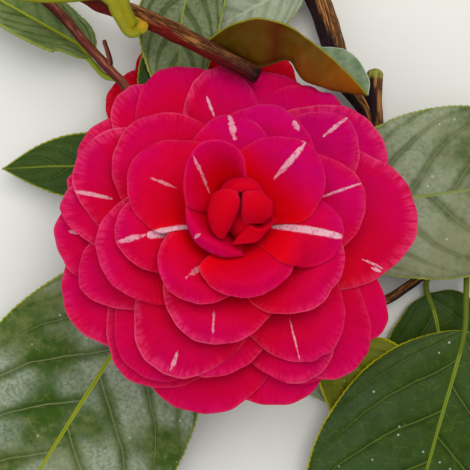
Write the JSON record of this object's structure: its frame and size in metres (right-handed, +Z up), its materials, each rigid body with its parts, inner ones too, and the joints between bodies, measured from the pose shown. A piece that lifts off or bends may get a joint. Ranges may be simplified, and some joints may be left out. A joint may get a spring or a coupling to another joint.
{
  "type": "cut flowering camellia spray",
  "caption": "Cut camellia spray lying flat: large red double bloom facing up, smaller bloom behind, glossy leaves on woody twigs.",
  "frame": {"origin": "middle of the spray's bounding box, on the flat surface that it lies on", "axes": "+Z up, the way the large bloom faces; +Y towards the arching woody stem; +X towards the leaves on the open side"},
  "size_m": [0.1907, 0.2166, 0.0613],
  "materials": {
    "bark": "matt brown bark, ridged lengthways",
    "leaf": "leathery dark green blade with a waxy sheen",
    "young_leaf": "soft yellow-green to olive blade with a low sheen",
    "petals": "velvety crimson with a few thin white streaks",
    "sepals": "matt green scales"
  },
  "bodies": {
    "root": {"stem_foot": "bark", "stem_middle": "bark", "stem_tip": "bark", "front_twig": "bark", "left_twig": "bark", "right_twig": "bark", "rear_twig": "bark", "leaf_low_left": "leaf", "leaf_low_right": "leaf", "leaf_under_right": "leaf", "leaf_under_low": "leaf", "leaf_right_edge": "leaf", "leaf_right": "leaf", "leaf_left": "leaf", "leaf_upper_left": "leaf", "leaf_top": "leaf", "leaf_top_middle": "leaf", "leaf_behind": "leaf", "leaf_folded": "young_leaf", "leaf_young": "young_leaf", "bloom": "petals", "rear_bloom": "petals", "calyx": "sepals", "rear_calyx": "sepals"}
  },
  "joints": []
}
